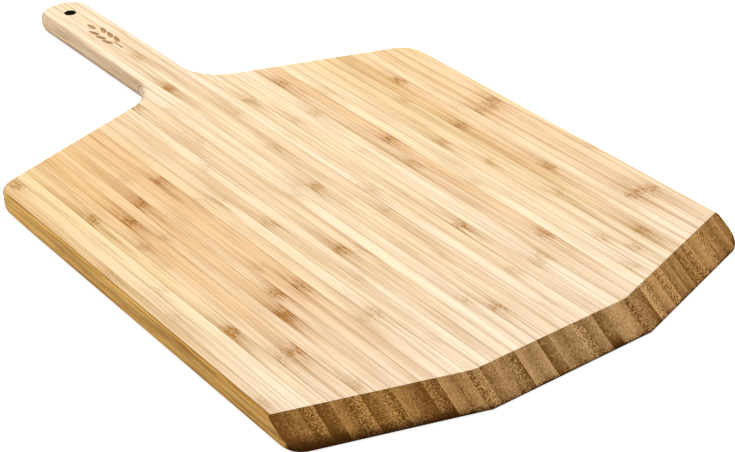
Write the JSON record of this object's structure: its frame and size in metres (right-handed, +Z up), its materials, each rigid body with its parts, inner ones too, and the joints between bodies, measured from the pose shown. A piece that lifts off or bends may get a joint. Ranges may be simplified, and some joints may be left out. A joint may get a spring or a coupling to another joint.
{
  "type": "pizza peel",
  "caption": "Flat bamboo pizza peel with a ramped, faceted leading edge, sloping shoulders and a straight, round-ended handle with a hanging hole.",
  "frame": {"origin": "on the surface that the peel lies on, under the middle of its length and width", "axes": "+Z up out of the serving face, +Y from the ramped leading edge towards the handle's end, X across the blade"},
  "size_m": [0.305, 0.532, 0.0134],
  "materials": {
    "bamboo_pale": "pale laminated bamboo, fine straight grain, satin oiled",
    "bamboo_straw": "straw-coloured laminated bamboo, fine straight grain, satin oiled",
    "bamboo_honey": "honey-coloured laminated bamboo, darker streaky grain, satin oiled"
  },
  "bodies": {
    "root": {"strip_01": "bamboo_straw", "strip_02": "bamboo_pale", "strip_03": "bamboo_pale", "strip_04": "bamboo_straw", "strip_05": "bamboo_straw", "strip_06": "bamboo_honey", "strip_07": "bamboo_straw", "strip_08": "bamboo_honey", "strip_09": "bamboo_straw", "strip_10": "bamboo_honey", "strip_11": "bamboo_honey", "strip_12": "bamboo_straw", "strip_13": "bamboo_pale", "strip_14": "bamboo_straw", "strip_15": "bamboo_pale", "strip_16": "bamboo_straw", "strip_17": "bamboo_straw", "strip_18": "bamboo_pale", "strip_19": "bamboo_pale", "strip_20": "bamboo_straw", "strip_21": "bamboo_straw", "strip_22": "bamboo_straw", "strip_23": "bamboo_pale", "strip_24": "bamboo_straw", "strip_25": "bamboo_straw", "strip_26": "bamboo_pale", "strip_27": "bamboo_pale", "strip_28": "bamboo_straw", "strip_29": "bamboo_honey", "strip_30": "bamboo_pale", "strip_31": "bamboo_pale", "strip_32": "bamboo_straw", "strip_33": "bamboo_straw", "strip_34": "bamboo_straw", "strip_35": "bamboo_honey", "strip_36": "bamboo_straw", "strip_37": "bamboo_pale", "strip_38": "bamboo_straw", "strip_39": "bamboo_straw", "strip_40": "bamboo_straw", "strip_41": "bamboo_straw"}
  },
  "joints": []
}
